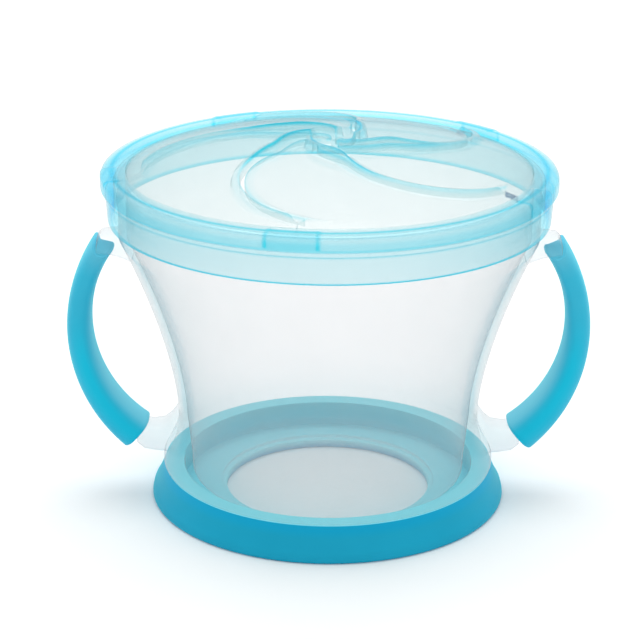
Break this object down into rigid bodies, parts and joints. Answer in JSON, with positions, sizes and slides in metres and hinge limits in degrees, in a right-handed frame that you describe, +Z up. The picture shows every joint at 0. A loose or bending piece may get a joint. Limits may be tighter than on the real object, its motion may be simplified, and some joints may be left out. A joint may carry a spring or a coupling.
{
  "type": "toddler snack cup",
  "caption": "Clear two-handled snack cup with soft blue grips and foot ring, and a press-on lid whose pinwheel of curved soft flaps lets a small hand in.",
  "frame": {"origin": "centre of the foot ring's bottom, where the cup stands", "axes": "+Z up through the lid, X through the two handles, -Y towards the viewer"},
  "size_m": [0.1144, 0.098, 0.0826],
  "materials": {
    "clear_plastic": "clear moulded polypropylene, slightly frosted",
    "blue_soft": "satin overmoulded thermoplastic elastomer",
    "lid_plastic": "pale blue translucent moulded plastic",
    "flap_soft": "thin pale blue translucent elastomer"
  },
  "bodies": {
    "cup": {"cup": "clear_plastic", "left_grip": "blue_soft", "right_grip": "blue_soft", "base_ring": "blue_soft"},
    "lid": {"lid_ring": "lid_plastic"},
    "flap_1": {"flap_1": "flap_soft"},
    "flap_2": {"flap_2": "flap_soft"},
    "flap_3": {"flap_3": "flap_soft"},
    "flap_4": {"flap_4": "flap_soft"},
    "flap_5": {"flap_5": "flap_soft"}
  },
  "joints": [
    {"name": "lid_lift", "type": "slide", "parent": "cup", "child": "lid", "axis": [0, 0, 1], "range_m": [0, 0.05]},
    {"name": "flap_1_bend", "type": "hinge", "parent": "lid", "child": "flap_1", "pos_m": [0.01456, -0.02857, 0.0744], "axis": [-0.891, -0.454, 0], "range_deg": [0, 60], "stiffness_Nm_per_rad": 0.0175},
    {"name": "flap_2_bend", "type": "hinge", "parent": "lid", "child": "flap_2", "pos_m": [0.03167, 0.00502, 0.0744], "axis": [0.1564, -0.9877, 0], "range_deg": [0, 60], "stiffness_Nm_per_rad": 0.0175},
    {"name": "flap_3_bend", "type": "hinge", "parent": "lid", "child": "flap_3", "pos_m": [0.00502, 0.03167, 0.0744], "axis": [0.9877, -0.1564, 0], "range_deg": [0, 60], "stiffness_Nm_per_rad": 0.0175},
    {"name": "flap_4_bend", "type": "hinge", "parent": "lid", "child": "flap_4", "pos_m": [-0.02857, 0.01456, 0.0744], "axis": [0.454, 0.891, 0], "range_deg": [0, 60], "stiffness_Nm_per_rad": 0.0175},
    {"name": "flap_5_bend", "type": "hinge", "parent": "lid", "child": "flap_5", "pos_m": [-0.02267, -0.02267, 0.0744], "axis": [-0.7071, 0.7071, 0], "range_deg": [0, 60], "stiffness_Nm_per_rad": 0.0175}
  ]
}
